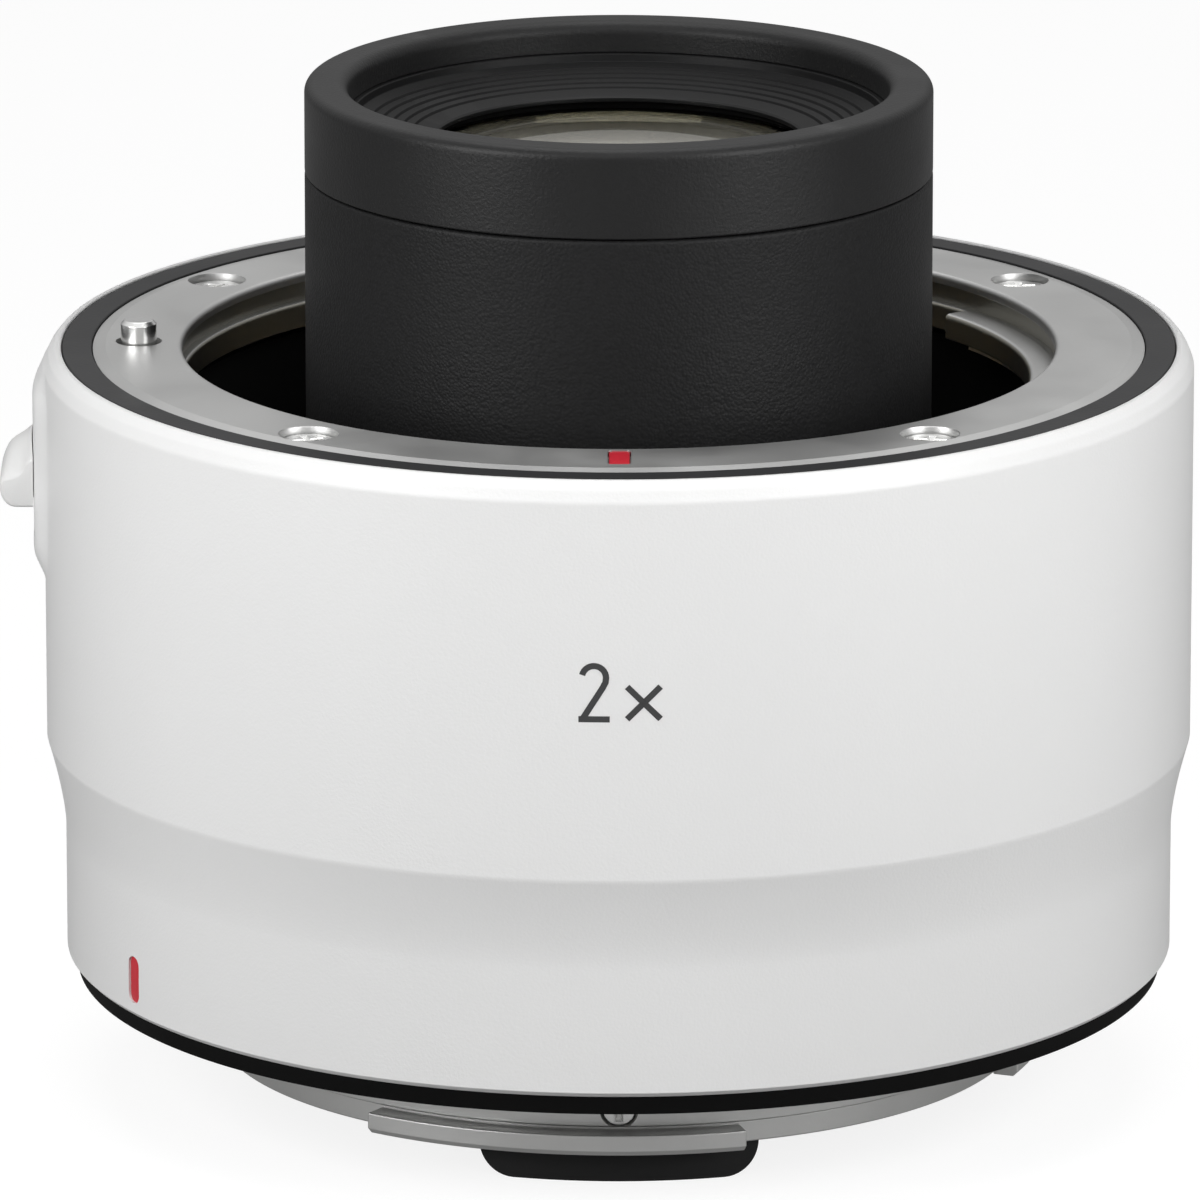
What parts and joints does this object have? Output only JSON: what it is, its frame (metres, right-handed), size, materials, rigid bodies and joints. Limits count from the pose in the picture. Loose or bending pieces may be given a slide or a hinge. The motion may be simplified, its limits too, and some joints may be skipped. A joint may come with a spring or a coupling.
{
  "type": "camera teleconverter",
  "caption": "White-barrelled rear lens extender with a black front tube, a bayonet on each side, a sliding lock-release lever and sprung electrical contacts.",
  "frame": {"origin": "on the optical axis, in the plane of the camera-side flange", "axes": "+Z along the optical axis towards the lens; -Y through the index marks; the release lever is on the -X side"},
  "size_m": [0.074, 0.0712, 0.0635],
  "materials": {
    "white_paint": "fine-textured satin enamel",
    "white_lever": "satin moulding",
    "bayonet_metal": "satin, turned",
    "dark_trim": "satin",
    "red_mark": "satin inlay",
    "screw_steel": "satin",
    "spring_steel": "satin",
    "frame_alloy": "as cast and machined",
    "black_anodised": "matt black",
    "tube_black": "fine-textured matt black",
    "cap_black": "smooth satin black",
    "liner_black": "matt black",
    "block_black": "moulded satin black",
    "contact_gold": "gold plated",
    "board_green": "solder mask",
    "flex_amber": "film",
    "optical_glass": "coated",
    "rubber_black": "matt"
  },
  "bodies": {
    "housing": {"barrel_index_bar": "red_mark", "bayonet_leaf_springs": "spring_steel", "camera_mount_ring": "bayonet_metal", "camera_mount_screws": "screw_steel", "circuit_board": "board_green", "contact_springs": "spring_steel", "front_baffle_ring": "black_anodised", "front_contact_block": "block_black", "front_contact_flex": "flex_amber", "front_retainer_ring": "black_anodised", "front_spacer_ring": "black_anodised", "inner_frame": "frame_alloy", "inner_screws": "screw_steel", "lens_element_1": "optical_glass", "lens_element_2": "optical_glass", "lens_element_3": "optical_glass", "lens_element_4": "optical_glass", "lens_element_5": "optical_glass", "lens_element_6": "optical_glass", "lens_element_7": "optical_glass", "lens_element_8": "optical_glass", "lens_element_9": "optical_glass", "lens_index_mark": "red_mark", "lens_mount_ring": "bayonet_metal", "lens_mount_screws": "screw_steel", "lens_tube": "tube_black", "lever_guide": "block_black", "lock_pin_spring": "spring_steel", "middle_spacer_ring": "black_anodised", "mount_shim": "spring_steel", "optics_barrel": "black_anodised", "outer_barrel": "white_paint", "rear_contact_block": "block_black", "rear_contact_flex": "flex_amber", "rear_contact_pads": "contact_gold", "rear_cover": "block_black", "rear_retainer_ring": "black_anodised", "rear_screws": "screw_steel", "rear_spacer_ring": "black_anodised", "seal_ring": "rubber_black", "throat_liner": "liner_black", "trim_ring": "dark_trim", "tube_cap": "cap_black"},
    "lever": {"release_lever": "white_lever", "lever_slider": "block_black"},
    "latch": {"lock_pin": "screw_steel"},
    "pin_body_01": {"contact_pin_01": "contact_gold"},
    "pin_body_02": {"contact_pin_02": "contact_gold"},
    "pin_body_03": {"contact_pin_03": "contact_gold"},
    "pin_body_04": {"contact_pin_04": "contact_gold"},
    "pin_body_05": {"contact_pin_05": "contact_gold"},
    "pin_body_06": {"contact_pin_06": "contact_gold"},
    "pin_body_07": {"contact_pin_07": "contact_gold"},
    "pin_body_08": {"contact_pin_08": "contact_gold"},
    "pin_body_09": {"contact_pin_09": "contact_gold"},
    "pin_body_10": {"contact_pin_10": "contact_gold"},
    "pin_body_11": {"contact_pin_11": "contact_gold"},
    "pin_body_12": {"contact_pin_12": "contact_gold"}
  },
  "joints": [
    {"name": "lever_slide", "type": "slide", "parent": "housing", "child": "lever", "axis": [0, 0, -1], "range_m": [0, 0.002], "stiffness_N_per_m": 400, "springref_m": -0.002},
    {"name": "lock_pin_slide", "type": "slide", "parent": "housing", "child": "latch", "axis": [0, 0, -1], "range_m": [0, 0.002], "deforming": ["lock_pin_spring"]},
    {"name": "contact_pin_01_slide", "type": "slide", "parent": "housing", "child": "pin_body_01", "axis": [0, 0, -1], "range_m": [0, 0.0007], "stiffness_N_per_m": 100, "springref_m": -0.001, "deforming": ["contact_springs"]},
    {"name": "contact_pin_02_slide", "type": "slide", "parent": "housing", "child": "pin_body_02", "axis": [0, 0, -1], "range_m": [0, 0.0007], "stiffness_N_per_m": 100, "springref_m": -0.001, "deforming": ["contact_springs"]},
    {"name": "contact_pin_03_slide", "type": "slide", "parent": "housing", "child": "pin_body_03", "axis": [0, 0, -1], "range_m": [0, 0.0007], "stiffness_N_per_m": 100, "springref_m": -0.001, "deforming": ["contact_springs"]},
    {"name": "contact_pin_04_slide", "type": "slide", "parent": "housing", "child": "pin_body_04", "axis": [0, 0, -1], "range_m": [0, 0.0007], "stiffness_N_per_m": 100, "springref_m": -0.001, "deforming": ["contact_springs"]},
    {"name": "contact_pin_05_slide", "type": "slide", "parent": "housing", "child": "pin_body_05", "axis": [0, 0, -1], "range_m": [0, 0.0007], "stiffness_N_per_m": 100, "springref_m": -0.001, "deforming": ["contact_springs"]},
    {"name": "contact_pin_06_slide", "type": "slide", "parent": "housing", "child": "pin_body_06", "axis": [0, 0, -1], "range_m": [0, 0.0007], "stiffness_N_per_m": 100, "springref_m": -0.001, "deforming": ["contact_springs"]},
    {"name": "contact_pin_07_slide", "type": "slide", "parent": "housing", "child": "pin_body_07", "axis": [0, 0, -1], "range_m": [0, 0.0007], "stiffness_N_per_m": 100, "springref_m": -0.001, "deforming": ["contact_springs"]},
    {"name": "contact_pin_08_slide", "type": "slide", "parent": "housing", "child": "pin_body_08", "axis": [0, 0, -1], "range_m": [0, 0.0007], "stiffness_N_per_m": 100, "springref_m": -0.001, "deforming": ["contact_springs"]},
    {"name": "contact_pin_09_slide", "type": "slide", "parent": "housing", "child": "pin_body_09", "axis": [0, 0, -1], "range_m": [0, 0.0007], "stiffness_N_per_m": 100, "springref_m": -0.001, "deforming": ["contact_springs"]},
    {"name": "contact_pin_10_slide", "type": "slide", "parent": "housing", "child": "pin_body_10", "axis": [0, 0, -1], "range_m": [0, 0.0007], "stiffness_N_per_m": 100, "springref_m": -0.001, "deforming": ["contact_springs"]},
    {"name": "contact_pin_11_slide", "type": "slide", "parent": "housing", "child": "pin_body_11", "axis": [0, 0, -1], "range_m": [0, 0.0007], "stiffness_N_per_m": 100, "springref_m": -0.001, "deforming": ["contact_springs"]},
    {"name": "contact_pin_12_slide", "type": "slide", "parent": "housing", "child": "pin_body_12", "axis": [0, 0, -1], "range_m": [0, 0.0007], "stiffness_N_per_m": 100, "springref_m": -0.001, "deforming": ["contact_springs"]}
  ],
  "couplings": [
    {"joint": "lock_pin_slide", "follows": "lever_slide", "ratio": 1}
  ]
}
